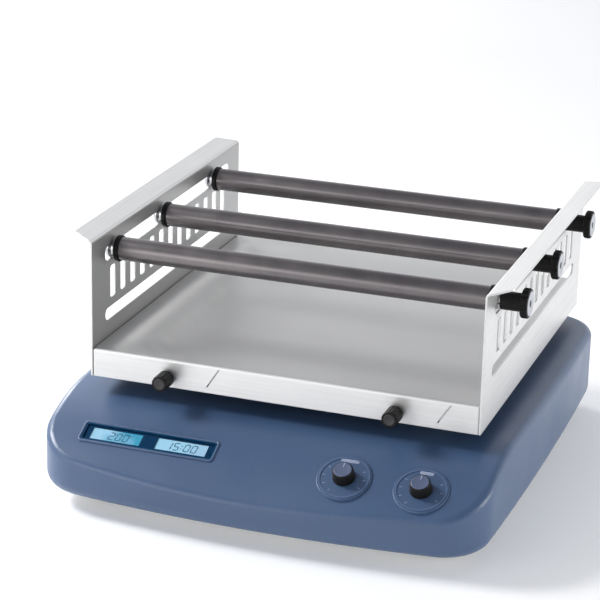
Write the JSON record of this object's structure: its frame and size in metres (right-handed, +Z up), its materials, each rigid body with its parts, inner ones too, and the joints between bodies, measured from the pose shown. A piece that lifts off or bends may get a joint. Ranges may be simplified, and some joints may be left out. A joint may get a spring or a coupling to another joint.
{
  "type": "benchtop orbital shaker",
  "caption": "Open benchtop orbital shaker: low rounded base with display and dials, orbiting stainless tray with slotted side walls and sliding clamp bars.",
  "frame": {"origin": "on the bench under the middle of the base", "axes": "+X to the operator's right, +Y to the rear, +Z up; the controls face -Y"},
  "size_m": [0.3786, 0.42, 0.211],
  "materials": {
    "housing": "satin blue-grey lacquer",
    "base_sheet": "zinc plated",
    "foot_rubber": "matte",
    "screw_steel": "plain",
    "cast_alloy": "cast and turned",
    "bearing_steel": "ground",
    "shaft_steel": "turned",
    "motor_paint": "black",
    "belt_rubber": "matte",
    "circuit_board": "laminate",
    "black_plastic": "fine moulded grain",
    "display_blue": "dark blue",
    "window_clear": "clear",
    "lcd": "pale blue-grey",
    "dial_ring": "thin raised ring, satin",
    "cable_grey": "ribbon",
    "tray_steel": "polished stainless sheet",
    "sleeve_rubber": "smooth dark grey"
  },
  "bodies": {
    "base": {"upper_housing": "housing", "base_plate": "base_sheet", "rubber_feet": "foot_rubber", "base_screws": "screw_steel", "drive_bearing_housing": "cast_alloy", "drive_bearing_outer_rings": "bearing_steel", "idler_bearing_housings": "cast_alloy", "idler_lower_bearings": "bearing_steel", "motor_body": "motor_paint", "motor_bracket": "base_sheet", "drive_belt": "belt_rubber", "chassis_screws": "screw_steel", "main_board": "circuit_board", "board_standoffs": "screw_steel", "power_supply": "base_sheet", "mains_inlet": "black_plastic", "switch_frame": "black_plastic", "display_bezel": "display_blue", "display_window": "window_clear", "lcd_left": "lcd", "lcd_right": "lcd", "display_board": "circuit_board", "dial_rings": "dial_ring", "knob_encoders": "base_sheet", "display_cable": "cable_grey"},
    "crank": {"drive_bearing_inner_rings": "bearing_steel", "drive_shaft": "shaft_steel", "driven_pulley": "cast_alloy", "crank_head": "shaft_steel", "counterweight": "shaft_steel"},
    "platform": {"platform_carrier": "cast_alloy", "platform_main_bearing": "bearing_steel", "idler_upper_bearings": "bearing_steel", "platform_plate": "base_sheet", "tray_pan": "tray_steel", "side_wall_left": "tray_steel", "side_wall_right": "tray_steel", "platform_screws": "screw_steel"},
    "idler_left": {"idler_crank_left": "shaft_steel"},
    "idler_right": {"idler_crank_right": "shaft_steel"},
    "idler_rear": {"idler_crank_rear": "shaft_steel"},
    "motor_rotor": {"motor_pulley": "cast_alloy"},
    "front_bar": {"front_bar_rod": "shaft_steel", "front_bar_collars": "black_plastic", "front_bar_sleeve": "sleeve_rubber"},
    "front_bar_knob": {"front_bar_knob": "black_plastic"},
    "middle_bar": {"middle_bar_rod": "shaft_steel", "middle_bar_collars": "black_plastic", "middle_bar_sleeve": "sleeve_rubber"},
    "middle_bar_knob": {"middle_bar_knob": "black_plastic"},
    "rear_bar": {"rear_bar_rod": "shaft_steel", "rear_bar_collars": "black_plastic", "rear_bar_sleeve": "sleeve_rubber"},
    "rear_bar_knob": {"rear_bar_knob": "black_plastic"},
    "tray_screw_left": {"tray_screw_left": "black_plastic"},
    "tray_screw_right": {"tray_screw_right": "black_plastic"},
    "speed_knob": {"speed_knob": "black_plastic"},
    "time_knob": {"time_knob": "black_plastic"},
    "power_rocker": {"power_rocker": "black_plastic"},
    "fuse_drawer": {"fuse_drawer": "black_plastic"}
  },
  "joints": [
    {"name": "drive_turn", "type": "hinge", "parent": "base", "child": "crank", "pos_m": [0, 0.0315, 0.05], "axis": [0, 0, 1], "continuous": true},
    {"name": "platform_turn", "type": "hinge", "parent": "crank", "child": "platform", "pos_m": [0, 0.0365, 0.095], "axis": [0, 0, 1], "continuous": true},
    {"name": "idler_left_turn", "type": "hinge", "parent": "base", "child": "idler_left", "pos_m": [-0.105, -0.066, 0.05], "axis": [0, 0, 1], "continuous": true},
    {"name": "idler_right_turn", "type": "hinge", "parent": "base", "child": "idler_right", "pos_m": [0.105, -0.066, 0.05], "axis": [0, 0, 1], "continuous": true},
    {"name": "idler_rear_turn", "type": "hinge", "parent": "base", "child": "idler_rear", "pos_m": [0, 0.142, 0.05], "axis": [0, 0, 1], "continuous": true},
    {"name": "motor_turn", "type": "hinge", "parent": "base", "child": "motor_rotor", "pos_m": [-0.104, 0.096, 0.05], "axis": [0, 0, 1], "continuous": true},
    {"name": "front_bar_slide", "type": "slide", "parent": "platform", "child": "front_bar", "axis": [0, 1, 0], "range_m": [-0.012, 0.038]},
    {"name": "front_bar_knob_turn", "type": "hinge", "parent": "front_bar", "child": "front_bar_knob", "pos_m": [0.175, -0.0846, 0.1889], "axis": [1, 0, 0], "range_deg": [0, 720]},
    {"name": "middle_bar_slide", "type": "slide", "parent": "platform", "child": "middle_bar", "axis": [0, 1, 0], "range_m": [-0.038, 0.046]},
    {"name": "middle_bar_knob_turn", "type": "hinge", "parent": "middle_bar", "child": "middle_bar_knob", "pos_m": [0.175, 0.0165, 0.1889], "axis": [1, 0, 0], "range_deg": [0, 720]},
    {"name": "rear_bar_slide", "type": "slide", "parent": "platform", "child": "rear_bar", "axis": [0, 1, 0], "range_m": [-0.046, 0.035]},
    {"name": "rear_bar_knob_turn", "type": "hinge", "parent": "rear_bar", "child": "rear_bar_knob", "pos_m": [0.175, 0.1343, 0.1889], "axis": [1, 0, 0], "range_deg": [0, 720]},
    {"name": "tray_screw_left_turn", "type": "hinge", "parent": "platform", "child": "tray_screw_left", "pos_m": [-0.0966, -0.1285, 0.1008], "axis": [0, -1, 0], "range_deg": [0, 720]},
    {"name": "tray_screw_right_turn", "type": "hinge", "parent": "platform", "child": "tray_screw_right", "pos_m": [0.0966, -0.1285, 0.1008], "axis": [0, -1, 0], "range_deg": [0, 720]},
    {"name": "speed_knob_turn", "type": "hinge", "parent": "base", "child": "speed_knob", "pos_m": [0.0715, -0.17838, 0.06019], "axis": [0, -0.4571, 0.8894], "continuous": true},
    {"name": "time_knob_turn", "type": "hinge", "parent": "base", "child": "time_knob", "pos_m": [0.1335, -0.17838, 0.06019], "axis": [0, -0.4571, 0.8894], "continuous": true},
    {"name": "power_rocker_tilt", "type": "hinge", "parent": "base", "child": "power_rocker", "pos_m": [0.066, 0.198, 0.0425], "axis": [1, 0, 0], "range_deg": [0, 20]},
    {"name": "fuse_drawer_slide", "type": "slide", "parent": "base", "child": "fuse_drawer", "axis": [0, 1, 0], "range_m": [0, 0.012]}
  ],
  "couplings": [
    {"joint": "platform_turn", "follows": "drive_turn", "ratio": -1},
    {"joint": "idler_left_turn", "follows": "drive_turn", "ratio": 1},
    {"joint": "idler_right_turn", "follows": "drive_turn", "ratio": 1},
    {"joint": "idler_rear_turn", "follows": "drive_turn", "ratio": 1},
    {"joint": "motor_turn", "follows": "drive_turn", "ratio": 3}
  ]
}
